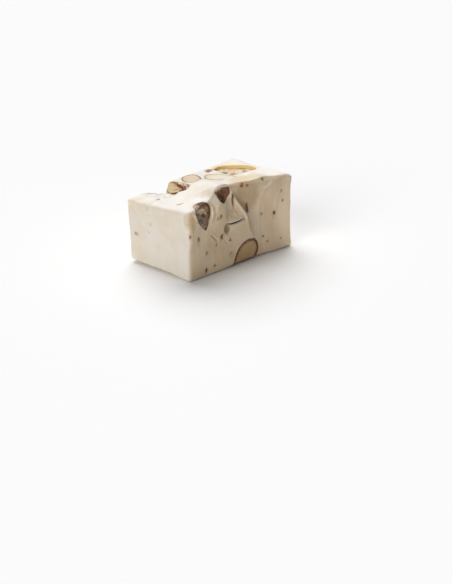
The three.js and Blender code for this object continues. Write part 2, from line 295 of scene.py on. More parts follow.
@dataclass(frozen=True)
class BarForm:
    """The bar's outer form: where each point of a unit block, (u, v, w), lies on the hand-cut bar."""

    length: float = 60.0
    width: float = 36.8
    nominal_height: float = 30.0
    edge_round: float = 1.5
    # How far each lower corner lies from a true rectangle's, in x and y.
    front_left: Pair = (0.2, 3.4)
    front_right: Pair = (-2.8, -0.2)
    back_left: Pair = (0.4, 0.0)
    back_right: Pair = (0.2, -0.2)
    # The left part of the top is lower and ends in a step.
    step: Pair = (-18.4, -14.4)
    front_edge: TopEdge = TopEdge(28.4, 31.0, 33.5, 30.8, 0.9)
    back_edge: TopEdge = TopEdge(26.2, 27.6, 28.2, 29.2, -0.5)
    hump: Swelling = Swelling(-12.0, -14.5, 5.5, 2.5)
    dish: Swelling = Swelling(-13.0, 9.0, 8.0, -2.8)
    ramp: Pair = (-11.5, -6.5)
    saddle: Swelling = Swelling(13.5, 1.5, 5.0, -0.7)
    end_hollow: float = 1.3
    end_lean: float = 0.7  # of the left end's back edge, outwards to its top
    front_wear: Wear = Wear(-7.0, 14.0, 0.7, 7.0)
    left_wear: Wear = Wear(-7.0, 22.0, 0.9, 6.0)
    # The fold's x at three heights. Right of it the front lies back, and it fades out at fold_end.
    fold_heights: Vec3 = (9.0, 20.0, 34.0)
    fold_places: Vec3 = (5.5, 2.5, -8.0)
    fold_width: float = 3.0
    fold_setback: float = 3.8
    fold_end: float = 27.0
    fold_rise: float = 1.4  # above 1, the setback grows ever faster with the height
    # Slow waves of a hand-cut face: height, how fast each turns along the two directions, and its phase.
    waves: tuple[tuple[float, float, float, float], ...] = ((0.22, 0.21, 0.27, 0.9), (0.16, 0.47, -0.33, 0.0))
    # The chip out of the top's back edge: a floor that falls to the foot of a steep break. The break starts
    # at chip_x and leans to the right by chip_lean of its height.
    chip_x: float = -9.2
    chip_lean: float = 0.42
    chip_front: float = 5.2
    chip_back: float = 18.0
    chip_foot: float = 22.9
    chip_fall: Pair = (0.3, 0.2)

    def corner(self, shift: Pair, right: bool, back: bool) -> np.ndarray:
        """A lower corner, which lies that far from a true rectangle's."""
        return np.array([(right - 0.5) * self.length, (back - 0.5) * self.width]) + shift

    def footprint(self, u: np.ndarray, v: np.ndarray) -> tuple[np.ndarray, np.ndarray]:
        """Where (u, v) lies on the footprint, as x and y."""
        front = self.corner(self.front_left, False, False), self.corner(self.front_right, True, False)
        back = self.corner(self.back_left, False, True), self.corner(self.back_right, True, True)
        places = [
            lerp(lerp(front[0][axis], front[1][axis], u), lerp(back[0][axis], back[1][axis], u), v)
            for axis in (0, 1)
        ]
        return places[0], places[1]

    def unevenness(self, a: np.ndarray, b: np.ndarray) -> np.ndarray:
        """The slow waves at (a, b) of a hand-cut face."""
        return sum(h * np.sin(ka * a + kb * b + phase) for h, ka, kb, phase in self.waves)

    def edge_height(self, edge: TopEdge, x: np.ndarray) -> np.ndarray:
        """An edge's height at x: a slope up to the step, the step, and a slightly crowned slope on."""
        share = np.clip((x - self.step[1]) / (self.length / 2 - self.step[1]), 0, 1)
        run = (x + self.length / 2) / (self.step[0] + self.length / 2)
        left = lerp(edge.left, edge.step_foot, run)
        right = lerp(edge.step_top, edge.right, share) + edge.crown * np.sin(np.pi * share)
        return lerp(left, right, smoothstep(x, *self.step))

    def top_height(self, x: np.ndarray, y: np.ndarray) -> np.ndarray:
        """The top's height at (x, y)."""
        u = x / self.length + 0.5
        front, back = self.footprint(u, 0.0)[1], self.footprint(u, 1.0)[1]
        edges = self.edge_height(self.front_edge, x), self.edge_height(self.back_edge, x)
        slope = lerp(*edges, (y - front) / (back - front))
        dish = self.dish.at(x, y) * (1 - smoothstep(x, *self.ramp))
        return slope + self.hump.at(x, y) + dish + self.saddle.at(x, y)

    def fold_x(self, z: np.ndarray) -> np.ndarray:
        """Where the fold crosses the front at height z."""
        return np.interp(z, self.fold_heights, self.fold_places)

    def setback(self, x: np.ndarray, z: np.ndarray) -> np.ndarray:
        """How far the front lies back at (x, z): most just right of the fold, less to the right and lower."""
        fold = self.fold_x(z)
        across = smoothstep(x - fold, -self.fold_width / 2, self.fold_width / 2)
        along = np.clip((self.fold_end - x) / (self.fold_end - fold), 0, 1)
        return self.fold_setback * across * along * np.clip(z / self.fold_heights[2], 0, 1) ** self.fold_rise

    def place(self, u: np.ndarray, v: np.ndarray, w: np.ndarray) -> np.ndarray:
        """The places on the bar of points of the unit block, one row each."""
        # The high powers keep each shape to its own edge or end.
        foot_x, foot_y = self.footprint(u, v)
        lean = (1 - v) ** 2 * (1 - np.abs(2 * u - 1))  # the columns lean with the fold
        x = foot_x + lean * (self.fold_x(w * self.top_height(foot_x, foot_y)) - self.footprint(0.5, 0.0)[0])
        y = foot_y
        z = w * self.top_height(x, y)
        wear = self.front_wear.at(x, v * self.width) + self.left_wear.at(y, u * self.length)
        z = z + wear * (1 - w) ** 4
        upper = smoothstep(w, 0, 0.2)  # the underside stays flat
        front_y = (1 - v) * (self.setback(x, z) + upper * self.unevenness(x, z))
        y = y + front_y + v * upper * self.unevenness(x + 9, z)
        hollow = self.end_hollow * u**8 * (1 - v) * np.sin(np.pi * w)
        flare = self.end_lean * (1 - u) ** 8 * v * w**2
        x = x + (2 * u - 1) * upper * self.unevenness(y, z + 5) - hollow - flare
        y = y + flare
        z = z + np.maximum(0, 2 * w - 1) * self.unevenness(x, y + 7)
        return np.stack([x, y, z], axis=1)

    def on_face(self, face: Face, a: float, b: float) -> np.ndarray:
        """The place on a face at its own two coordinates."""
        if face is Face.TOP:
            return np.array([a, b, self.top_height(a, b)])
        if face is Face.UNDER:
            return np.array([a, b, 0.0])
        if face is Face.CHIP:
            return np.array([self.chip_x + self.chip_lean * (b - self.chip_foot), a, b])
        if face in (Face.LEFT, Face.RIGHT):
            u = float(face is Face.RIGHT)
            return np.array([self.footprint(u, a / self.width + 0.5)[0], a, b])
        v = float(face is Face.BACK)
        y = self.footprint(a / self.length + 0.5, v)[1]
        return np.array([a, y + (0.0 if v else self.setback(a, b)), b])


# ---- Marks on the faces ------------------------------------------------------------------------


@dataclass(frozen=True)
class Patch:
    """A soft patch of another colour: its middle, half sizes and turn on a face, its colour and strength."""

    face: Face
    at: Pair
    half: Pair
    colour: str
    turn: float = 0.0
    strength: float = 0.8
    ragged: float = 0.25  # how far its edge wanders, as a share of its size
    towards: Vec3 | None = None  # it shows on what looks this way, where that isn't the face's own way

    @property
    def normal(self) -> Vec3:
        """The way that what it shows on looks."""
        return self.towards or self.face.normal

    def weight(self, points: np.ndarray) -> np.ndarray:
        """How strongly the patch shows at each point, from 0 to its strength."""
        flat = points[:, self.face.axes] - self.at
        turn = math.radians(self.turn)
        across = flat[:, 0] * math.cos(turn) + flat[:, 1] * math.sin(turn)
        up = flat[:, 1] * math.cos(turn) - flat[:, 0] * math.sin(turn)
        distance = np.hypot(across / self.half[0], up / self.half[1])
        near = distance < 1.2 + self.ragged  # farther out nothing of it shows
        distance[near] += self.ragged * cloudy(points[near], 0.8, self.at[0])
        return self.strength * (1 - smoothstep(distance, 0.6, 1.15))


@dataclass(frozen=True)
class Stroke:
    """A groove, scratch or ridge on a face: its path, half width, and height, negative where it is cut in. It
    may have a colour of its own."""

    face: Face
    path: tuple[Pair, ...]
    width: float
    height: float
    colour: str = ""
    strength: float = 0.0
    tapers: bool = True

    @property
    def normal(self) -> Vec3:
        """The way that what it shows on looks."""
        return self.face.normal

    def profile(self, points: np.ndarray) -> np.ndarray:
        """How much of the stroke is at each point, from 0 to 1."""
        distance, share = distance_to_path(points[:, self.face.axes], self.path)
        ends = np.sin(np.pi * share) ** 0.5 if self.tapers else 1.0
        return np.exp(-((distance / self.width) ** 2)) * ends

    def weight(self, points: np.ndarray) -> np.ndarray:
        """How strongly the stroke's colour shows at each point."""
        return self.strength * smoothstep(self.profile(points), 0.25, 0.8)


def on(face: Face, kind: type, *rows_of_values: tuple) -> tuple:
    """Marks or flecks of one kind on a face, each from a row of its other values."""
    return tuple(kind(face, *values) for values in rows_of_values)


def tint(thing: bpy.types.Object, marks: tuple[Patch | Stroke, ...], facing: bool) -> None:
    """Keep the colours of marks on a mesh as the attribute "tint", whose alpha is their strength.

    Args:
        thing: the mesh.
        marks: the patches and strokes, each laid over those before it.
        facing: whether a mark shows only on what looks its way.
    """
    points, normals = coordinates(thing), vertex_normals(thing)
    colours = np.zeros((len(points), 4))
    for mark in marks:
        weight = mark.weight(points)
        if facing:
            weight = weight * smoothstep(normals @ np.array(mark.normal), 0.1, 0.5)
        total = weight + colours[:, 3] * (1 - weight)
        fresh = np.divide(weight, total, out=np.zeros_like(total), where=total > 0)
        colours[:, :3] = lerp(colours[:, :3], np.array(linear(mark.colour)[:3]), fresh[:, None])
        colours[:, 3] = total
    save_attribute(thing, "tint", colours)


# ---- Almonds -----------------------------------------------------------------------------------


@dataclass(frozen=True)
class Almond:
    """One almond in the bar, cut level with a face: an egg with a pointed end and a wrinkled skin.

    The place and the turn are given on the face, and half is half its length, breadth and thickness.
    """

    node: str
    face: Face
    at: Pair
    half: Vec3
    turn: float
    deep: float  # how far its middle lies under the face
    sunk: float = 0.0  # how far its cut lies under the face
    hollow: float = 0.0  # an almond of this share of its size is broken out
    shift: Vec3 = (0.0, 0.0, 0.0)  # where the broken-out share lies
    rough: float = 0.0  # height of the crags on a broken face
    skinned: bool = False  # its brown skin shows
    rind: float = 1.0  # how thick its skin's line is, as a share of the usual
    patches: tuple[Patch | Stroke, ...] = ()
    taper: float = 0.24  # how much slimmer it grows along its length
    point: float = 0.1  # the same, close to its tip
    wrinkle: float = 0.035  # height of the skin's wrinkles, as a share of the size
    table_clear: float = 0.2  # how far an almond's cut in the underside lies above the table
    berth: float = 1.25  # no fleck lies within this share of its size
    sides: int = 48
    rings: int = 28
    crag_grid: float = 0.2  # spacing of the skin that its crags are drawn on

    @property
    def seed(self) -> float:
        """A number of its own, so that no two almonds are alike."""
        return 0.1 * (self.at[0] + 2.3 * self.at[1] + self.turn)

    def axes(self) -> np.ndarray:
        """The almond's own length, breadth and thickness directions, as columns."""
        turn = math.radians(self.turn)
        along, side = np.array(self.face.along), self.face.side
        length = along * math.cos(turn) + side * math.sin(turn)
        breadth = side * math.cos(turn) - along * math.sin(turn)
        return np.stack([length, breadth, np.array(self.face.normal)], axis=1)

    def middle(self, form: BarForm) -> np.ndarray:
        """The place of the almond's middle."""
        return form.on_face(self.face, *self.at) - np.array(self.face.normal) * self.deep

    def covers(self, point: np.ndarray, form: BarForm) -> bool:
        """Whether a point on the bar lies on the almond or close beside it."""
        return np.linalg.norm((point - self.middle(form)) @ self.axes() / self.half) < self.berth

    def swell(self, unit: np.ndarray) -> np.ndarray:
        """How far the wrinkled skin stands out in each direction, where 1 is the plain egg."""
        direction = unit / np.maximum(np.linalg.norm(unit, axis=1), 1e-6)[:, None]
        grooves = cloudy(direction * (1.1, 3.0, 3.0), 1.0, self.seed, 3)  # they run along the almond
        return 1 + self.wrinkle * (grooves + 0.6 * cloudy(direction, 0.9, self.seed + 3))

    def taper_at(self, along: np.ndarray) -> np.ndarray:
        """How slim the egg is at a place along it."""
        return 1 - self.taper * along - self.point * np.maximum(along, 0) ** 3

    def solid(
        self, form: BarForm, share: float = 1.0, grow: float = 0.0, shift: Vec3 = (0, 0, 0)
    ) -> bpy.types.Object:
        """Model the whole almond, before it is cut.

        Args:
            form: the bar that it lies in.
            share: its size as a share of the real one.
            grow: how much bigger it is all round.
            shift: how far it is moved.

        Returns:
            The closed mesh.
        """
        deselect_all()
        bpy.ops.mesh.primitive_uv_sphere_add(segments=self.sides, ring_count=self.rings, radius=MM)
        egg = bpy.context.object
        sphere = coordinates(egg)[:, [2, 0, 1]]  # the poles to the almond's ends
        slim = self.taper_at(sphere[:, 0])[:, None]
        shaped = sphere * np.concatenate([np.ones_like(slim), slim, slim], axis=1)
        shaped = shaped * self.swell(sphere)[:, None] * (np.array(self.half) * share + grow)
        move_vertices(egg, shaped @ self.axes().T + self.middle(form) + np.array(shift))
        return egg

    def build(self, form: BarForm, block: bpy.types.Object) -> bpy.types.Object:
        """Cut the almond with the bar's faces, break it where it is broken, and mark its depths.

        Args:
            form: the bar that it lies in.
            block: the bar's solid block, without the almonds' sockets.

        Returns:
            The almond as it lies in the bar.
        """
        kernel = self.solid(form)
        if self.face is Face.UNDER:
            block.location = (0, 0, self.table_clear * MM)
        else:
            block.location = Vector(self.face.normal) * -self.sunk * MM
        combine(kernel, block, "INTERSECT")
        block.location = (0, 0, 0)
        if self.hollow:
            cavity = self.solid(form, self.hollow, shift=self.shift)
            combine(kernel, cavity, "DIFFERENCE")
            scrap(cavity)
        if self.rough:
            self.break_up(kernel, form)
        self.mark(kernel, form)
        return kernel

    def break_up(self, kernel: bpy.types.Object, form: BarForm) -> None:
        """Turn the cut into a broken face, with crags of this almond's roughness."""
        apply_modifier(kernel, "REMESH", mode="VOXEL", voxel_size=self.crag_grid * MM)
        points, normals = coordinates(kernel), vertex_normals(kernel)
        inside = smoothstep(self.depths(points, form), 0.2, 0.9)  # the skin itself stays smooth
        crags = np.abs(cloudy(points, 2.2, self.seed)) * 2 + 0.5 * cloudy(points, 0.7, self.seed + 1)
        move_vertices(kernel, points - normals * (self.rough * inside * crags)[:, None])

    def depths(self, points: np.ndarray, form: BarForm) -> np.ndarray:
        """How deep each point lies under the almond's own skin."""
        own = (points - self.middle(form)) @ self.axes()
        unit = own / self.half
        unit[:, 1:] /= self.taper_at(np.clip(unit[:, 0], -1, 1))[:, None]
        share = np.maximum(np.linalg.norm(unit, axis=1), 1e-3)
        reach = np.minimum(np.linalg.norm(own, axis=1) / share, self.half[0])
        return (self.swell(unit) - share) * reach

    def mark(self, kernel: bpy.types.Object, form: BarForm) -> None:
        """Keep for the materials each vertex's depth under the skin, its place in the almond and its tint."""
        points = coordinates(kernel)
        save_attribute(kernel, "depth", self.depths(points, form) / self.rind)
        save_attribute(kernel, "grain", (points - self.middle(form)) @ self.axes() + self.seed * 10)
        tint(kernel, self.patches, facing=False)


ALMONDS = (
    # The arch's darker, warmer flesh is partly its own and partly painted shade.
    Almond(
        "almond_arch", Face.FRONT, (0.0, 2.0), (9.0, 5.4, 4.5), 223, 0.4, taper=0.28, rind=3.4,
        patches=on(Face.FRONT, Patch, ((0.8, 3.4), (6.0, 4.6), "#BC9B6C", 45, 0.85)),
    ),
    # Two broken open: pale flesh round a hollow lined with brown skin, and nougat smeared over the top.
    Almond(
        "almond_hollow_left", Face.FRONT, (-22.0, 25.0), (6.2, 3.5, 3.4), -77, 0.8,
        taper=0.55, hollow=0.86, shift=(-1.1, -1.6, 0.4), rough=0.35, skinned=True,
        patches=on(
            Face.FRONT, Patch,
            ((-23.0, 24.0), (1.5, 4.2), "#B7A18F", 6, 0.9),
            ((-24.6, 28.6), (2.3, 1.2), "#F2D5C0", 15, 0.9),
            # The pale spot on the broken flesh is a painted highlight.
            ((-21.9, 26.9), (1.7, 1.2), "#E9D6B6", 10, 0.75, 0.6),
            ((-21.3, 29.9), (1.8, 0.9), "#6B4128", 10, 0.95),
            ((-19.4, 25.0), (0.8, 3.4), "#6E432C", 8, 0.9),
            ((-19.4, 22.9), (0.6, 0.9), "#B08A6A", 0, 0.8),
            ((-21.5, 20.4), (0.8, 0.8), "#D3A88F", 0, 0.85),
            ((-26.4, 31.3), (4.4, 2.0), "#FFF6EA", 3, 1.0),
        ),
    ),
    Almond(
        "almond_hollow_right", Face.FRONT, (-11.8, 31.3), (3.9, 3.3, 2.9), -84, 0.8,
        taper=0.5, hollow=0.84, shift=(-0.5, -1.5, 0.3), rough=0.3, skinned=True,
        patches=on(
            Face.FRONT, Patch,
            # The light tan at its upper left is a painted highlight.
            ((-13.6, 33.9), (2.2, 1.2), "#DDBC96", -12, 0.95),
            ((-10.4, 30.8), (1.8, 2.8), "#7F5036", 10, 0.85),
            ((-11.6, 29.6), (0.9, 1.2), "#5A3524", 0, 0.8),
            ((-15.3, 30.6), (1.5, 2.6), "#F1E0CC", 12, 1.0),
            ((-11.8, 35.4), (4.4, 1.2), "#F5DFCF", 0, 1.0),
        ),
    ),
    Almond("almond_slit", Face.FRONT, (3.2, 22.2), (2.4, 0.9, 2.4), 100, 0.6, sunk=0.5, skinned=True),
    # Torn rather than cut: pale flesh, dark skin along its top and foot, and nougat stuck to its upper edge.
    Almond(
        "almond_chipped", Face.CHIP, (11.9, 26.3), (6.9, 3.6, 1.7), 15, 0.0, rough=0.35,
        patches=(
            *on(
                Face.CHIP, Patch,
                ((13.8, 26.2), (5.0, 3.6), "#EAD4AC", 0, 0.8),
                ((8.0, 27.0), (2.4, 3.0), "#855231", 10, 0.95, 0.4),
            ),
            *on(
                Face.CHIP, Stroke,
                (((15.4, 25.0), (12.0, 26.3), (10.6, 26.6)), 0.35, 0, "#B78A5B", 0.7),
                (((16.6, 26.7), (12.8, 26.9)), 0.25, 0, "#C7A070", 0.6),
                (((17.4, 28.4), (15.6, 28.5), (13.2, 27.8)), 0.9, 0, "#A56C42", 0.85, False),
                (((14.0, 27.9), (12.1, 27.6), (10.1, 27.5), (9.0, 26.8)), 0.85, 0, "#653B22", 0.95),
                (((10.2, 27.4), (9.4, 26.4), (11.6, 25.6)), 0.6, 0, "#7C4B2C", 0.9),
                (((16.8, 23.6), (14.0, 24.1), (12.2, 24.8), (10.9, 25.5)), 0.5, 0, "#64401F", 0.95),
            ),
            *on(
                Face.CHIP, Patch,
                ((11.9, 28.9), (1.3, 0.6), "#F2DACB", 0, 0.95, 0.5),
                ((8.7, 28.9), (1.2, 0.7), "#F0D2C0", 0, 0.95, 0.5),
                ((7.3, 28.0), (0.6, 0.9), "#E6BFAA", 0, 0.9, 0.5),
            ),
        ),
    ),
    Almond(
        "almond_top_small", Face.TOP, (-1.6, 10.5), (7.2, 3.7, 3.2), 240, 0.6, taper=0.1,
        patches=on(Face.TOP, Patch, ((-1.4, 10.8), (6.0, 3.0), "#DDC9B2", 60, 0.75, 0.4)),
    ),
    Almond(
        "almond_top_large", Face.TOP, (4.7, 0.9), (8.5, 5.3, 4.6), 80, 0.6, taper=0.08, rind=0.7,
        patches=on(
            Face.TOP, Patch,
            ((4.9, 1.0), (8.0, 4.8), "#F0E6D3", 80, 0.85, 0.3),
            ((3.2, -6.6), (4.6, 3.0), "#F3ECDF", 0, 0.95, 0.4),
        ),
    ),
    # Broken out below the surface, with golden and brown stains in it, and a dark crescent along its left
    # edge that is painted shade under the near lip.
    Almond(
        "almond_top_back", Face.TOP, (18.6, 5.1), (9.6, 6.6, 5.0), -71, 0.8, taper=0.12, sunk=1.3, rough=0.45,
        patches=(
            *on(
                Face.TOP, Patch,
                ((18.0, 5.4), (9.0, 6.2), "#EADBBE", -71, 0.8, 0.3),
                ((19.5, 9.5), (3.6, 1.6), "#CDB995", 10, 0.6, 0.5),
            ),
            *on(
                Face.TOP, Stroke,
                (((13.4, 8.9), (15.0, 8.4), (14.9, 6.7), (13.6, 4.4)), 0.55, 0, "#5E4830", 0.95, False),
            ),
            *on(
                Face.TOP, Patch,
                ((15.8, 3.9), (2.3, 1.5), "#B67C32", 30, 0.95, 0.5),
                ((19.4, 1.4), (2.2, 0.8), "#D9A468", 0, 0.7, 0.6),
                ((21.6, 3.6), (1.4, 0.9), "#9A6C42", 30, 0.7, 0.5),
            ),
        ),
    ),
    # Those that lie in the back, the right end and the underside.
    Almond("almond_back_1", Face.BACK, (19.5, 14.0), (9.4, 6.2, 5.5), 38, 0.8),
    Almond("almond_back_2", Face.BACK, (3.2, 7.4), (8.2, 4.8, 5.0), -22, 0.6),
    Almond("almond_back_3", Face.BACK, (3.6, 18.2), (6.8, 3.8, 4.5), 12, 0.6),
    Almond("almond_back_4", Face.BACK, (-12.2, 12.4), (8.2, 5.6, 5.5), 62, 0.8),
    Almond("almond_back_5", Face.BACK, (-24.0, 9.6), (7.2, 4.0, 4.5), -74, 0.5),
    Almond("almond_right_1", Face.RIGHT, (-7.5, 18.4), (8.2, 5.2, 5.0), 64, 0.8),
    Almond("almond_right_2", Face.RIGHT, (7.4, 7.2), (7.4, 4.2, 4.4), -16, 0.6),
    Almond("almond_under_1", Face.UNDER, (-14.0, 4.5), (8.4, 5.2, 4.0), 25, 1.0),
    Almond("almond_under_2", Face.UNDER, (15.5, 1.5), (8.6, 5.4, 4.0), -35, 1.0),
)


# ---- The nougat --------------------------------------------------------------------------------


@dataclass(frozen=True)
class Nougat:
    """The soft white body of the bar, with a socket for each almond."""

    form: BarForm
    cuts: int = 95  # of each side of the block, before it is bent
    chip_cuts: int = 20  # of each side of the chip's space
    grid: float = 0.385  # spacing of the skin that all the relief is drawn on
    smoothing: int = 5
    glue: float = 0.03  # how much wider than its almond a socket is
    # The box whose skin has a finer grid: round the fold, the crack and the broken almonds.
    fine_low: Vec3 = (-28.0, -40.0, 10.0)
    fine_high: Vec3 = (4.0, -9.0, 36.0)
    lump_height: float = 0.14
    lump_width: float = 7.0
    crumb_height: float = 0.045
    crumb_width: float = 1.5
    crag_height: float = 0.35  # of the torn nougat in the chip
    crag_width: float = 2.4
    drag_height: float = 0.12  # of the streaks that the knife dragged up each cut side
    drag_width: float = 1.3
    drag_stretch: float = 0.06  # a streak's width as a share of its length
    # The nougat's colour on the front, partly its own cream and partly painted shade, darker and warmer than
    # on the other cut sides; then its own colour on the other cut sides, the smooth left end and the dried
    # top.
    front_colour_with_painted_shade: str = "#E7D1B2"
    side_colour: str = "#EFE2CE"
    end_colour: str = "#EDE5D9"
    top_colour: str = "#F4EFE8"
    # Each row gives a stroke's path, half width, height, colour, its strength, and whether it tapers.
    strokes: tuple[Stroke, ...] = (
        *on(
            Face.FRONT, Stroke,
            # The crevice beside the small broken almond, its dark brown partly nut dust and partly painted
            # shade, the fold's ridge with a pale painted highlight, and a shallow line beside it.
            (
                ((-8.6, 34.8), (-6.9, 32.6), (-5.9, 30.2), (-6.0, 29.0), (-5.5, 26.4), (-5.0, 24.0)),
                0.5, -1.2, "#7D4F2C", 0.95,
            ),
            (
                ((-5.4, 29.2), (-3.6, 26.2), (-1.9, 23.4), (0.6, 20.0), (1.5, 17.2), (2.6, 12.2)),
                0.55, 0.45, "#F0DFC4", 0.5,
            ),
            (((1.8, 19.6), (2.7, 16.8), (3.4, 13.4)), 0.5, -0.3),
            # The valley left of the fold, closed below by a crack that runs to the right under a curled lip.
            # The crack's dark brown is partly nut dust and partly painted shade.
            (((-9.2, 31.0), (-8.2, 27.0), (-7.6, 22.5), (-7.2, 19.0)), 2.6, -1.3),
            (((-9.6, 18.8), (-7.1, 18.4), (-4.6, 18.5), (-2.1, 18.7), (0.8, 19.1)), 0.5, -1.1, "#5A3413", 1),
            (((-8.0, 19.9), (-4.0, 19.6), (-0.8, 20.0)), 0.9, 0.4),
            (((-7.2, 20.2), (-6.8, 22.4), (-5.0, 22.6), (-4.2, 20.6)), 0.5, 0.3),
            # A burst bubble under the crack.
            (((-9.5, 18.0), (-9.4, 16.7)), 1.45, -0.9, "", 0.0, False),
            # A lip of nougat over the small broken almond; its pale colour is painted light on its top.
            (
                ((-16.2, 34.2), (-14.8, 35.6), (-12.0, 36.0), (-9.2, 35.2), (-7.6, 32.8), (-8.3, 29.4)),
                0.65, 0.8, "#FFE7D2", 0.9,
            ),
            # The top's front edge is worn soft, right of the small broken almond.
            (((-7.0, 35.0), (2.0, 34.4), (12.0, 33.4), (22.0, 32.2)), 1.8, -0.6),
            # The step's flank lies back beside the small broken almond; its near-white colour is painted
            # light, as if lit like the top.
            (((-18.2, 31.2), (-15.8, 33.8)), 2.2, -1.3, "#FFF3E0", 0.85, False),
            # Thin lips and folds on both sides of the large broken almond.
            (((-18.2, 30.2), (-17.2, 27.6), (-17.2, 24.4), (-18.4, 21.0)), 0.4, 0.35, "#DDBBA2", 0.5),
            (((-28.2, 28.4), (-26.6, 26.6), (-25.2, 23.6)), 0.55, 0.3, "#F6D4C4", 0.9),
            (((-17.6, 29.0), (-16.9, 25.6), (-17.0, 22.4)), 0.3, -0.3, "#A58468", 0.5),
            (((-16.1, 28.6), (-16.0, 25.2), (-16.6, 21.6)), 0.4, -0.25, "#B59A78", 0.35),
            # Scratches and small tears.
            (((-18.6, 17.2), (-16.1, 14.8), (-14.4, 13.2)), 0.4, -0.4, "#A88F70", 0.5),
            (((-17.4, 17.0), (-15.2, 15.0), (-13.6, 14.0)), 0.4, 0.15),
            (((-13.5, 14.4), (-13.8, 10.4)), 0.3, 0.2),
            (((-11.0, 13.6), (-9.4, 10.6)), 0.35, -0.2),
            (((-10.0, 14.6), (-7.0, 10.4)), 0.35, 0.2),
            # Soft folds in the right half, a short slanting one and two upright ones; their pale colour is a
            # painted highlight along their crests.
            (((11.0, 28.2), (13.6, 29.0), (16.4, 30.4)), 0.45, 0.5, "#F7E8D2", 0.6),
            (((7.4, 17.0), (8.6, 22.4), (10.0, 26.0), (11.4, 29.0)), 1.3, 0.6, "#F3E4CC", 0.3),
            (((16.8, 17.6), (17.6, 22.0), (19.4, 26.4)), 1.2, 0.4, "#F3E4CC", 0.25),
        ),
        *on(
            Face.RIGHT, Stroke,
            # The upright edge at the front right is worn soft.
            (((-17.6, 27.5), (-17.4, 24.0), (-17.6, 20.0)), 2.6, -0.9),
        ),
        *on(
            Face.LEFT, Stroke,
            # A scratch in the smooth end.
            (((17.7, 21.9), (17.9, 16.8)), 0.3, -0.12),
        ),
        *on(
            Face.TOP, Stroke,
            # The front right corner is worn soft.
            (((28.2, -18.4), (27.9, -13.5)), 1.7, -0.7, "", 0.0, False),
            # Soft folds where the top was smeared along the bar.
            (((-28.0, -7.5), (-22.0, -7.0), (-15.0, -4.5)), 0.8, 0.2),
            (((-27.0, -11.0), (-20.0, -11.0), (-15.5, -8.5)), 0.7, -0.2),
            (((-14.0, -4.5), (-8.0, -4.0), (-1.5, -5.5)), 1.0, 0.2),
            # Two long crumbs of skin smeared into the top, and the rim above the sunk almond, golden as a
            # painted glow of light coming through the thin nougat.
            (((-26.2, 7.1), (-24.4, 7.0), (-22.8, 7.3)), 0.45, -0.15, "#8C745C", 0.95),
            (((-26.2, -4.5), (-25.4, -5.8), (-24.2, -7.4)), 0.45, -0.15, "#82694F", 0.95),
            (
                ((15.0, 14.6), (18.0, 15.3), (20.5, 13.9), (22.7, 11.3), (23.9, 7.6), (24.6, 4.4),
                 (25.1, 1.3), (25.1, -1.5)),
                0.9, -0.5, "#F8D691", 0.9, False,
            ),
            # The rim of the chip's floor shows as a thin dark line.
            (
                ((-23.0, 17.3), (-21.1, 16.6), (-20.3, 15.7), (-19.8, 14.4), (-18.9, 13.6), (-17.8, 12.6)),
                0.7, 0.1, "#6B5238", 1,
            ),
            (((-14.6, 17.4), (-12.8, 16.7), (-10.9, 16.5)), 0.6, 0.1, "#7C6347", 0.8),
        ),
    )
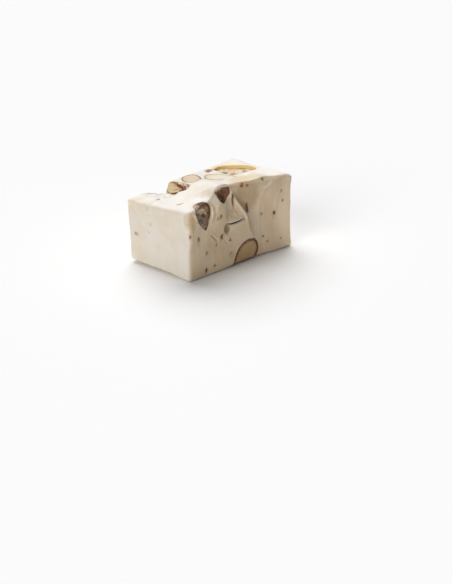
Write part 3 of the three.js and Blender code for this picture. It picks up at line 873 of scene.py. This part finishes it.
    # Each row gives a patch's middle, half sizes, colour, turn, strength, raggedness, and the way it looks.
    patches: tuple[Patch, ...] = (
        *on(
            Face.TOP, Patch,
            # The top is whitest towards the right, and creamy at its front right corner and beside the chip.
            ((22.0, -7.5), (10.5, 9.0), "#FFFDF8", 0, 0.85, 0.1),
            ((25.8, -12.8), (4.2, 5.6), "#FFF3DF", 0, 0.65, 0.1),
            ((-17.2, 5.8), (2.4, 2.2), "#EFD9BC", 0, 0.75, 0.2),
        ),
        *on(
            Face.FRONT, Patch,
            # Paler beside the large broken almond, painted light where the step's flank is lit, and paler low
            # down;
            # painted shade in the valley, and darker in the bubble.
            ((-16.4, 28.5), (2.4, 5.0), "#FFEDD0", -12, 0.8, 0.3),
            ((-8.8, 25.0), (2.3, 5.5), "#CDB9A0", 5, 0.6, 0.1),
            ((-11.0, 4.0), (15.0, 5.0), "#F5DEBB", 0, 0.4, 0.1),
            ((-9.5, 16.8), (1.7, 2.1), "#94805D", 0, 0.8, 0.1),
            ((-5.4, 22.4), (2.2, 3.0), "#CDBA90", 20, 0.5),
            # Painted shade beside the fold, tan where roasted crumbs lie under the cut, and a golden painted
            # glow along the front's left upright edge and along the top edge, where light comes through the
            # thin nougat.
            ((1.4, 23.0), (1.4, 2.8), "#96704C", 12, 0.7),
            ((-25.0, 14.8), (1.0, 1.5), "#D9B68C", 0, 0.6),
            ((-6.6, 5.6), (1.8, 1.9), "#D6B07F", 0, 0.5, 0.4),
            ((9.0, 3.8), (1.3, 2.4), "#DBB582", 0, 0.5, 0.4),
            ((-28.0, 24.0), (1.8, 5.0), "#CBA873", 0, 0.5),
            ((5.0, 33.1), (14.0, 1.5), "#E6CF9C", -7, 0.6, 0.2, (0.0, -0.7, 0.7)),
        ),
        *on(
            Face.TOP, Patch,
            # Cream along the top's front edge: a painted glow where light comes through the thin edge.
            ((8.0, -15.0), (13.0, 1.5), "#F9E9CB", -11, 0.75, 0.15),
        ),
        *on(
            Face.FRONT, Patch,
            # Paler towards the right end, as painted light; darker beside the fold, as the painted shadow of
            # the fold's step.
            ((26.5, 15.0), (9.0, 18.0), "#FCE6CA", 0, 0.65, 0.1),
            ((3.4, 27.0), (6.4, 7.0), "#C5A883", 0, 0.65, 0.15),
        ),
        *on(
            Face.LEFT, Patch,
            # Faint stains in the smooth end.
            ((-13.6, 25.2), (1.7, 3.4), "#D5B98C", 0, 0.5, 0.1),
            ((13.6, 13.0), (1.3, 0.9), "#D2B07A", 0, 0.6),
            ((6.7, 15.5), (0.6, 0.6), "#CDBDA3", 0, 0.5),
            ((5.5, 19.1), (0.6, 0.6), "#CDBDA3", 0, 0.5),
        ),
        *on(
            Face.TOP, Patch,
            # The broken ground between the large almond and the sunk one, and stains round the sunk one.
            ((10.9, 4.6), (2.0, 5.4), "#E9DBBE", 0, 0.6, 0.5),
            ((11.6, 5.2), (0.8, 2.0), "#7C6448", -6, 0.85, 0.4),
            ((12.0, 1.2), (1.3, 1.2), "#CB8338", 0, 0.85, 0.5),
            ((11.2, 13.4), (3.4, 1.7), "#8F4E12", 45, 0.95, 0.5),
            ((17.0, -5.6), (2.6, 1.6), "#F0DCBE", 0, 0.6, 0.5),
            ((23.6, 5.2), (0.8, 0.8), "#B9803F", 0, 0.8, 0.3, (-0.7, -0.7, 0.0)),
            # Light comes golden through the thin nougat behind the sunk almond.
            ((19.5, 6.0), (11.5, 8.5), "#FFE4A3", -68, 1.0, 0.1, (-0.7, -0.7, 0.0)),
        ),
    )

    def block(self) -> bpy.types.Object:
        """Model the bar's solid block: its form, its chip and all its relief, without the sockets."""
        block = gridded_cube(self.cuts)
        size = np.array([self.form.length, self.form.width, self.form.nominal_height])
        points = coordinates(block) * size
        core = size / 2 - self.form.edge_round
        on_core = np.clip(points, -core, core)
        out = points - on_core
        out *= self.form.edge_round / np.linalg.norm(out, axis=1)[:, None]
        unit = (on_core + out) / size + 0.5
        move_vertices(block, self.form.place(*unit.T))
        chip = self.chip()
        combine(block, chip, "DIFFERENCE")
        scrap(chip)
        apply_modifier(block, "REMESH", mode="VOXEL", voxel_size=self.grid * MM)
        apply_modifier(block, "SMOOTH", factor=0.5, iterations=self.smoothing)
        self.refine_fold(block)
        points, normals = coordinates(block), vertex_normals(block)
        points = points + normals * self.relief(points, normals)[:, None]
        low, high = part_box("nougat")
        move_vertices(block, np.clip(points, np.array(low) / MM, np.array(high) / MM))
        return block

    def chip(self) -> bpy.types.Object:
        """Model the space of the chip: a box whose floor falls to the right and back, and whose right side
        leans."""
        form, height, past = self.form, 12.0, 3.0
        length, breadth = form.length / 2, form.width / 2 - form.chip_front + past
        box = gridded_cube(self.chip_cuts)
        x, y, z = ((coordinates(box) + 0.5) * (length, breadth, height)).T
        x, y = x + form.chip_x - length, y + form.chip_front
        lean = form.chip_lean * z
        fall = form.chip_fall[0] * (form.chip_x - x) + form.chip_fall[1] * (form.chip_back - y)
        move_vertices(box, np.stack([x + lean, y, z + form.chip_foot + fall], axis=1))
        return box

    def refine_fold(self, block: bpy.types.Object) -> None:
        """Give the front a finer grid round the fold, the crack and the broken almonds."""
        centres = rows(block.data.polygons, "center") / MM
        pick(block)
        bpy.ops.object.mode_set(mode="EDIT")
        bpy.ops.mesh.select_mode(type="FACE")
        bpy.ops.mesh.select_all(action="DESELECT")
        bpy.ops.object.mode_set(mode="OBJECT")
        chosen = ((centres > self.fine_low) & (centres < self.fine_high)).all(axis=1)
        block.data.polygons.foreach_set("select", chosen)
        bpy.ops.object.mode_set(mode="EDIT")
        bpy.ops.mesh.subdivide(number_cuts=1)
        bpy.ops.object.mode_set(mode="OBJECT")

    def relief(self, points: np.ndarray, normals: np.ndarray) -> np.ndarray:
        """How far each point of the block is lifted by lumps, drag streaks, the torn chip and the strokes."""
        x, y, z = points.T
        form = self.form
        facing = {face: smoothstep(normals @ face.normal, 0.3, 0.7) for face in Face}
        lift = self.lump_height * cloudy(points, self.lump_width, 1)
        lift = lift + self.crumb_height * cloudy(points, self.crumb_width, 2)
        # Torn behind the chip's front, left of its break and above its foot.
        torn = smoothstep(y, form.chip_front - 0.6, form.chip_front + 0.6)
        torn = torn * (1 - smoothstep(x, form.chip_x - 0.3, form.chip_x + 0.8))
        torn = torn * smoothstep(z, form.chip_foot - 0.9, form.chip_foot + 0.6)
        lift = lift + self.crag_height * torn * cloudy(points, self.crag_width, 3, 3)
        streaks = cloudy(points * (1.0, 1.0, self.drag_stretch), self.drag_width, 4)
        # The front is dragged most right of the fold.
        dragged = facing[Face.FRONT] * (0.35 + 0.65 * smoothstep(x, 4, 9))
        dragged = dragged + 0.7 * facing[Face.BACK] + 0.5 * facing[Face.RIGHT]
        lift = lift + self.drag_height * dragged * streaks
        for stroke in self.strokes:
            lift = lift + stroke.height * stroke.profile(points) * facing[stroke.face]
        return lift * smoothstep(z, 0.05, 1.2)  # the underside stays flat

    def build(
        self, block: bpy.types.Object, almonds: tuple[Almond, ...], stains: tuple[Patch, ...]
    ) -> bpy.types.Object:
        """Cut the almonds' sockets into the block and keep its colours for its finish.

        Args:
            block: the solid block.
            almonds: what lies in it.
            stains: what the flecks leave in the nougat round them.

        Returns:
            The nougat.
        """
        for almond in almonds:
            socket = almond.solid(self.form, grow=self.glue)
            combine(block, socket, "DIFFERENCE")
            scrap(socket)
        coloured = tuple(stroke for stroke in self.strokes if stroke.colour)
        tint(block, self.patches + stains + coloured, facing=True)
        normals = vertex_normals(block)
        # How squarely each point looks the way of each face, from 0 to 1.
        looks = {face: smoothstep(normals @ face.normal, 0.35, 0.85)[:, None] for face in Face}
        on_side = np.max([looks[face] for face in (Face.BACK, Face.RIGHT, Face.UNDER)], axis=0)
        at_end = looks[Face.LEFT] * smoothstep(-coordinates(block)[:, :1], 22.0, 25.0)
        # The alpha is how much of the nut dust shows: all of it in a cut, little on the top, none on the end.
        # The front's colour here carries painted shade.
        ground = lerp(np.array(linear(self.front_colour_with_painted_shade)), np.array(linear(self.side_colour)), on_side)
        ground = lerp(ground, np.array(linear(self.end_colour, 0.0)), at_end)
        ground = lerp(ground, np.array(linear(self.top_colour, 0.15)), looks[Face.TOP])
        save_attribute(block, "ground", ground)
        return block


# ---- Specks ------------------------------------------------------------------------------------


class Roast(Enum):
    """How dark a fleck of almond skin or roasted almond is."""

    DARK = "dark"
    BROWN = "brown"
    AMBER = "amber"


@dataclass(frozen=True)
class Speck:
    """A fleck of almond skin in the nougat: its face and place there, half sizes, turn and colour."""

    face: Face
    at: Pair
    half: Pair
    roast: Roast
    turn: float = 0.0

    @property
    def stain(self) -> Patch:
        """What it leaves in the nougat round it."""
        half = self.half[0] + 0.5, self.half[1] + 0.5
        return Patch(self.face, self.at, half, "#C2A27C", self.turn, 0.5, 0.2)


@dataclass(frozen=True)
class Specks:
    """The flecks of almond skin and roasted crumbs that lie in the bar's faces."""

    form: BarForm
    shown: tuple[Speck, ...] = (
        *on(
            Face.FRONT, Speck,
            ((-12.2, 14.3), (0.8, 1.15), Roast.DARK, 8),
            ((-8.0, 12.1), (0.45, 0.45), Roast.DARK),
            ((-24.7, 16.6), (0.6, 1.0), Roast.BROWN, 12),
            ((-29.2, 18.8), (0.35, 0.9), Roast.BROWN),
            ((-20.8, 10.1), (0.5, 0.75), Roast.BROWN),
            ((-20.8, 2.7), (0.6, 1.1), Roast.DARK, -8),
            ((-13.4, 23.2), (0.6, 1.0), Roast.BROWN),
            ((-14.8, 22.7), (0.25, 0.6), Roast.BROWN),
            ((-15.0, 11.8), (0.3, 0.5), Roast.BROWN),
            ((-16.5, 3.7), (0.5, 0.5), Roast.AMBER),
            ((-7.2, 6.2), (0.35, 0.3), Roast.BROWN),
            ((0.8, 31.8), (0.9, 0.65), Roast.AMBER, 20),
            ((3.2, 31.4), (0.6, 0.5), Roast.BROWN, -20),
            ((11.3, 32.3), (0.55, 0.5), Roast.BROWN),
            ((16.9, 17.0), (0.65, 1.3), Roast.DARK),
            ((10.4, 17.9), (0.35, 0.5), Roast.BROWN),
            ((21.0, 21.2), (0.35, 0.45), Roast.BROWN),
            ((20.5, 25.4), (0.35, 0.45), Roast.BROWN),
            ((10.8, 8.4), (0.4, 0.5), Roast.BROWN),
            ((12.7, 5.9), (0.35, 0.4), Roast.BROWN),
            ((20.5, 5.1), (0.32, 0.3), Roast.BROWN),
        ),
        *on(
            Face.LEFT, Speck,
            ((14.2, 13.1), (0.35, 0.3), Roast.BROWN),
        ),
        *on(
            Face.TOP, Speck,
            ((11.0, 13.6), (1.6, 1.0), Roast.AMBER, 50),
            ((12.4, 12.6), (0.9, 0.5), Roast.BROWN, 70),
        ),
    )
    # How many are scattered over each other face, and between which coordinates.
    scattered: tuple[tuple[Face, int, Pair, Pair], ...] = (
        (Face.BACK, 16, (-27, 27), (2, 22)),
        (Face.RIGHT, 10, (-16, 16), (2, 27)),
        (Face.UNDER, 16, (-27, 26), (-13, 16)),
    )
    scattered_half: Pair = (0.3, 0.9)  # least and greatest half length
    scattered_slim: Pair = (0.5, 1.0)  # least and greatest half breadth, as a share of it
    seed: int = 7
    size: float = 1.2  # of every fleck, as a share of the given half sizes
    dents: float = 0.28  # depth of its dents, as a share of its size
    thickness: float = 0.28
    proud: float = 0.1  # how far a fleck stands out of the face
    proud_under: float = 0.05  # the same on the underside, which lies flat

    def all(self) -> list[Speck]:
        """The flecks given one by one and those scattered over the other faces, between the almonds."""
        draw = np.random.default_rng(self.seed)
        flecks = list(self.shown)
        for face, count, *spans in self.scattered:
            for _ in range(count):
                at = tuple(draw.uniform(*span) for span in spans)
                length = draw.uniform(*self.scattered_half)
                half = (length, length * draw.uniform(*self.scattered_slim))
                roast = draw.choice([Roast.DARK, Roast.BROWN, Roast.BROWN, Roast.AMBER])
                fleck = Speck(face, at, half, roast, draw.uniform(0, 180))
                if not any(almond.covers(self.form.on_face(face, *at), self.form) for almond in ALMONDS):
                    flecks.append(fleck)
        return flecks

    def master(self) -> bpy.types.Object:
        """Model one fleck, which build flattens: a dented ball."""
        deselect_all()
        bpy.ops.mesh.primitive_ico_sphere_add(subdivisions=3, radius=MM)
        ball = bpy.context.object
        points = coordinates(ball)
        move_vertices(ball, points * (1 + self.dents * cloudy(points, 0.8, 5))[:, None])
        return ball

    def build(self, target: bpy.types.Object) -> dict[Roast, bpy.types.Object]:
        """Lay every fleck into the nearest surface, and join those of one colour.

        Args:
            target: the mesh that the flecks lie in.

        Returns:
            One piece for each colour.
        """
        tree = BVHTree.FromObject(target, bpy.context.evaluated_depsgraph_get())
        master = self.master()
        groups: dict[Roast, list[bpy.types.Object]] = {roast: [] for roast in Roast}
        for index, speck in enumerate(self.all()):
            place, normal, _, _ = tree.find_nearest(Vector(self.form.on_face(speck.face, *speck.at)) * MM)
            turn = Matrix.Rotation(math.radians(speck.turn), 4, "Z")
            variety = Matrix.Rotation(index * 1.7, 4, (1, 1, 1))  # each shows other dents
            lay = normal.to_track_quat("Z", "Y").to_matrix().to_4x4()
            size = Matrix.Diagonal((speck.half[0] * self.size, speck.half[1] * self.size, self.thickness, 1))
            flake = master.copy()
            flake.data = master.data.copy()
            bpy.context.collection.objects.link(flake)
            proud = self.proud_under if speck.face is Face.UNDER else self.proud
            sink = Matrix.Translation(place + normal * (proud - self.thickness) * MM)
            flake.data.transform(sink @ lay @ turn @ size @ variety)
            groups[speck.roast].append(flake)
        scrap(master)
        for flakes in groups.values():
            pick(*flakes)
            bpy.ops.object.join()
        return {roast: flakes[0] for roast, flakes in groups.items()}


# ---- Finishes ----------------------------------------------------------------------------------


def linear(colour: str, alpha: float = 1.0) -> tuple[float, float, float, float]:
    """An sRGB hex colour as the linear numbers that a shader reads."""
    channels = [int(colour[i : i + 2], 16) / 255 for i in (1, 3, 5)]
    return (*[c / 12.92 if c <= 0.04045 else ((c + 0.055) / 1.055) ** 2.4 for c in channels], alpha)


def add_node(
    tree: bpy.types.NodeTree,
    kind: str,
    inputs: dict[str | int, object] | None = None,
    out: str | int = 0,
    **settings: object,
) -> bpy.types.NodeSocket | None:
    """Add a shader node with its settings and links.

    Args:
        tree: the material's node tree.
        kind: the node's type, without "ShaderNode".
        inputs: for each input, by name or number, a value, a hex colour or another node's output.
        out: the output that is wanted.
        settings: the node's own properties.

    Returns:
        That output, or nothing from a node that has none.
    """
    node = tree.nodes.new(f"ShaderNode{kind}")
    for name, value in settings.items():
        setattr(node, name, value)
    for name, value in (inputs or {}).items():
        if isinstance(value, bpy.types.NodeSocket):
            tree.links.new(value, node.inputs[name])
        else:
            node.inputs[name].default_value = linear(value) if isinstance(value, str) else value
    return node.outputs[out] if node.outputs else None


# Settings that many nodes share: a smooth change from 0 to 1, a mix of two colours, and a product or a sum.
SMOOTH = {"interpolation_type": "SMOOTHSTEP"}
COLOURS = {"out": 2, "data_type": "RGBA"}
PRODUCT = {"operation": "MULTIPLY"}
SUM = {"operation": "ADD"}


def per_mm(size: float) -> float:
    """The scale, on Object coordinates in metres, of a pattern that is this many millimetres wide."""
    return 1 / (size * MM)


def new_material(name: str) -> bpy.types.Material:
    """Make a material with an empty node tree."""
    material = bpy.data.materials.new(name)
    material.use_nodes = True
    material.node_tree.nodes.clear()
    return material


def add_surface(tree: bpy.types.NodeTree, inputs: dict[str | int, object]) -> None:
    """End a material with a Principled shader that has these inputs."""
    add_node(tree, "OutputMaterial", {"Surface": add_node(tree, "BsdfPrincipled", inputs)})


@dataclass(frozen=True)
class NougatFinish:
    """Whipped white nougat, cut with a knife: satin, milky and a little translucent, so that its thin edges
    glow warm. It is pale on the dried top and the smooth left end, and creamy where it is cut. Honey tints
    faint swirls, and nut dust under the cut shows as tan spots."""

    honey: str = "#FAF5EC"
    dust: str = "#C9A878"
    dust_cell: float = 4.2  # spacing of the nut dust's spots
    swirl: float = 9.0  # width of the honey's swirls
    grain: float = 0.7  # width of the finest unevenness that the knife leaves
    milkiness: float = 0.45

    def build(self) -> bpy.types.Material:
        """Make the material."""
        material = new_material("whipped_nougat_knife_cut")
        node = partial(add_node, material.node_tree)
        place = node("TexCoord", out="Object")
        cloud = node("TexNoise", {"Vector": place, "Scale": per_mm(self.swirl), "Detail": 3.0})
        swirls = node("MapRange", {"Value": cloud, "From Min": 0.38, "From Max": 0.68}, **SMOOTH)
        # The ground colour holds the front's painted shade.
        ground = node("Attribute", attribute_name="ground")
        sweet = node("Mix", {0: swirls, 6: ground, 7: self.honey}, blend_type="MULTIPLY", **COLOURS)
        # A few of the cells hold a spot of dust, and more do in cut nougat.
        cells = node("TexVoronoi", {"Vector": place, "Scale": per_mm(self.dust_cell)}, "Distance")
        spot = node("MapRange", {"Value": cells, "From Min": 0.17, "From Max": 0.08}, **SMOOTH)
        chance = node("SeparateColor", {"Color": cells.node.outputs["Color"]}, "Red")
        seldom = node("MapRange", {"Value": chance, "From Min": 0.62, "From Max": 0.9}, **SMOOTH)
        here = node("Math", {0: seldom, 1: ground.node.outputs["Alpha"]}, **PRODUCT)
        dusty = node("Math", {0: node("Math", {0: spot, 1: here}, **PRODUCT), 1: 0.5}, **PRODUCT)
        colour = node("Mix", {0: dusty, 6: sweet, 7: self.dust}, **COLOURS)
        stain = node("Attribute", attribute_name="tint")
        strength = stain.node.outputs["Alpha"]
        # Stained nougat is drier: less light goes through it, and it shines less.
        moist = node("MapRange", {"Value": strength, "From Min": 1.0, "From Max": 0.2}, **SMOOTH)
        milky = node("Math", {0: moist, 1: self.milkiness}, **PRODUCT)
        fine = node("TexNoise", {"Vector": place, "Scale": per_mm(self.grain), "Detail": 3.0})
        inputs = {
            "Base Color": node("Mix", {0: strength, 6: colour, 7: stain}, **COLOURS),
            "Roughness": node("MapRange", {"Value": fine, "To Min": 0.42, "To Max": 0.62}),
            "IOR": 1.45,
            "Subsurface Weight": milky,
            "Subsurface Radius": (1.0, 0.8, 0.6),
            "Subsurface Scale": 2.0 * MM,
            "Specular IOR Level": milky,
            "Normal": node("Bump", {"Strength": 0.35, "Distance": 0.08 * MM, "Height": fine}),
        }
        add_surface(material.node_tree, inputs)
        return material


@dataclass(frozen=True)
class AlmondFinish:
    """Almond flesh inside its brown skin, cut or broken: pale, dry, matte and faintly streaked along the
    kernel. The skin is a thin dark line round a cut, and all brown where it shows from outside."""

    name: str
    flesh: str = "#E2D0AB"
    streak: str = "#D2B689"
    rim: str = "#C79E73"
    skin: str = "#5A361C"
    skin_light: str = "#83502A"
    skin_depth: float = 0.34  # how thick the skin's line is drawn
    streak_width: float = 1.1
    pore_width: float = 0.5263
    wave_width: float = 0.625  # of the waves along the skin's inner edge
    mottle_width: float = 1.25  # of the skin's two browns
    pit_width: float = 0.4545  # of the pits that make the cut dull

    def build(self) -> bpy.types.Material:
        """Make the material."""
        material = new_material(self.name)
        node = partial(add_node, material.node_tree)
        # Both are in millimetres: the place in the almond and the depth under its skin.
        grain = node("Attribute", out="Vector", attribute_name="grain")
        depth = node("Attribute", out="Fac", attribute_name="depth")
        stretched = node("Mapping", {"Vector": grain, "Scale": (0.3, 1.0, 1.0)})
        fibres = node("TexNoise", {"Vector": stretched, "Scale": 1 / self.streak_width, "Detail": 3.0})
        streaks = node("MapRange", {"Value": fibres, "From Min": 0.4, "From Max": 0.7}, **SMOOTH)
        flesh = node("Mix", {0: streaks, 6: self.flesh, 7: self.streak}, **COLOURS)
        dots = node("TexNoise", {"Vector": grain, "Scale": 1 / self.pore_width, "Detail": 1.0})
        pores = node("MapRange", {"Value": dots, "From Min": 0.72, "From Max": 0.8, "To Max": 0.5}, **SMOOTH)
        flesh = node("Mix", {0: pores, 6: flesh, 7: self.rim}, **COLOURS)
        # The skin's inner edge is a little ragged, and the flesh is browner close to it.
        wander = node("TexNoise", {"Vector": grain, "Scale": 1 / self.wave_width, "Detail": 3.0})
        ragged = node("MapRange", {"Value": wander, "To Min": -0.22, "To Max": 0.22})
        edge = node("Math", {0: depth, 1: ragged}, **SUM)
        browned = node("MapRange", {"Value": edge, "From Min": 1.3, "From Max": 0.3}, **SMOOTH)
        flesh = node("Mix", {0: browned, 6: flesh, 7: self.rim}, **COLOURS)
        mottle = node("TexNoise", {"Vector": grain, "Scale": 1 / self.mottle_width, "Detail": 3.0})
        skin = node("Mix", {0: mottle, 6: self.skin, 7: self.skin_light}, **COLOURS)
        line = {"From Min": self.skin_depth + 0.12, "From Max": self.skin_depth - 0.1}
        in_skin = node("MapRange", {"Value": edge, **line}, **SMOOTH)
        colour = node("Mix", {0: in_skin, 6: flesh, 7: skin}, **COLOURS)
        stain = node("Attribute", attribute_name="tint")
        pitted = node("TexNoise", {"Vector": grain, "Scale": 1 / self.pit_width, "Detail": 3.0})
        inputs = {
            "Base Color": node("Mix", {0: stain.node.outputs["Alpha"], 6: colour, 7: stain}, **COLOURS),
            "Roughness": 0.55,
            "Subsurface Weight": 0.15,
            "Subsurface Radius": (1.0, 0.7, 0.4),
            "Subsurface Scale": 1.0 * MM,
            "Specular IOR Level": 0.35,
            "Normal": node("Bump", {"Strength": 0.4, "Distance": 0.1 * MM, "Height": pitted}),
        }
        add_surface(material.node_tree, inputs)
        return material


@dataclass(frozen=True)
class FleckFinish:
    """Roasted almond skin in flakes: dull, dry and mottled between two browns."""

    dark: str
    light: str
    name: str
    mottle: float = 0.6  # width of the mottling

    def build(self) -> bpy.types.Material:
        """Make the material."""
        material = new_material(self.name)
        node = partial(add_node, material.node_tree)
        place = node("TexCoord", out="Object")
        mottle = node("TexNoise", {"Vector": place, "Scale": per_mm(self.mottle), "Detail": 3.0})
        inputs = {
            "Base Color": node("Mix", {0: mottle, 6: self.dark, 7: self.light}, **COLOURS),
            "Roughness": 0.6,
            "Specular IOR Level": 0.35,
            "Normal": node("Bump", {"Strength": 0.5, "Distance": 0.08 * MM, "Height": mottle}),
        }
        add_surface(material.node_tree, inputs)
        return material


FLECK_FINISHES = {
    Roast.DARK: FleckFinish("#5F3F25", "#8E6742", "almond_skin_dark_roast"),
    Roast.BROWN: FleckFinish("#8D6840", "#B48C5E", "almond_skin_brown_roast"),
    Roast.AMBER: FleckFinish("#86501C", "#B57E42", "almond_crumb_amber_roast"),
}


# ---- Studio ------------------------------------------------------------------------------------


@dataclass(frozen=True)
class Lamp:
    """A wide, soft and far light: the direction that it stands in, its strength, spread and colour."""

    towards: Vec3
    strength: float
    spread: float  # in degrees, as seen from the bar
    colour: str


@dataclass(frozen=True)
class Studio:
    """A white table in soft light from the back and the left, and the camera. Places are in metres."""

    floor_side: float = 8.0
    floor_colour: str = "#FFFFFF"
    lamps: tuple[Lamp, ...] = (
        Lamp((0.307, 0.485, 0.819), 2.95, 60, "#FEFEFF"),
        Lamp((-0.872, -0.130, 0.471), 1.36, 40, "#FFFEFC"),
    )
    sky_strength: float = 0.0  # all the light comes from the lamps
    camera_place: Vec3 = (-0.41159, -0.38543, 0.22589)
    camera_aim: Vec3 = (0.6755, 0.6218, -0.3962)
    lens: float = 92.47
    sensor: float = 36.0

    def build(self) -> None:
        """Make the table, the lights and the camera."""
        self.build_floor()
        for lamp in self.lamps:
            self.build_lamp(lamp)
        world = bpy.context.scene.world or bpy.data.worlds.new("dark_sky")
        bpy.context.scene.world = world
        world.use_nodes = True
        world.node_tree.nodes["Background"].inputs["Strength"].default_value = self.sky_strength
        bpy.context.scene.view_settings.view_transform = "Standard"
        deselect_all()
        bpy.ops.object.camera_add(location=self.camera_place)
        camera = bpy.context.object
        camera.rotation_euler = Vector(self.camera_aim).to_track_quat("-Z", "Y").to_euler()
        camera.data.lens = self.lens
        camera.data.sensor_width = self.sensor
        camera.data.clip_start = 0.01
        bpy.context.scene.camera = camera

    def build_floor(self) -> None:
        """Lay the white table top."""
        deselect_all()
        bpy.ops.mesh.primitive_plane_add(size=self.floor_side)
        floor = bpy.context.object
        floor.name = floor.data.name = "table_top"
        material = new_material("matte_white_table")
        look = {"Base Color": self.floor_colour, "Roughness": 0.7, "Specular IOR Level": 0.1}
        add_surface(material.node_tree, look)
        floor.data.materials.append(material)

    def build_lamp(self, lamp: Lamp) -> None:
        """Hang one lamp, turned to the bar."""
        deselect_all()
        bpy.ops.object.light_add(type="SUN", location=lamp.towards)
        light = bpy.context.object
        light.rotation_euler = Vector(lamp.towards).to_track_quat("Z", "Y").to_euler()
        light.data.angle = math.radians(lamp.spread)
        light.data.energy = lamp.strength
        light.data.color = linear(lamp.colour)[:3]


# ---- The whole bar -----------------------------------------------------------------------------


def main() -> None:
    """Build the bar round the frame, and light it."""
    logging.basicConfig(level=logging.INFO, format="%(name)s: %(message)s")
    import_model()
    form = BarForm()
    nougat = Nougat(form)
    block = nougat.block()
    LOG.info("block: %d faces", len(block.data.polygons))
    cut_almond = AlmondFinish("almond_flesh_cut").build()
    brown = {"flesh": "#8F7A62", "streak": "#6E4A33", "rim": "#6B4029"}
    skinned_almond = AlmondFinish("almond_brown_skin", **brown).build()
    kernels = [almond.build(form, block) for almond in ALMONDS]
    specks = Specks(form)
    flecks_by_roast = specks.build(block)
    body = nougat.build(block, ALMONDS, tuple(speck.stain for speck in specks.all()))
    hand_over(body, "nougat_body", NougatFinish().build(), ("nougat",))
    for almond, kernel in zip(ALMONDS, kernels):
        name = almond.node.replace("almond_", "kernel_")
        finish, slot = (skinned_almond, "almond_skin") if almond.skinned else (cut_almond, "almond")
        hand_over(kernel, name, finish, (almond.node,), crease=35.0)
    for roast, flakes in flecks_by_roast.items():
        hand_over(flakes, f"flecks_{roast.value}", FLECK_FINISHES[roast].build(), crease=60.0)
    Studio().build()


if __name__ == "__main__":
    main()
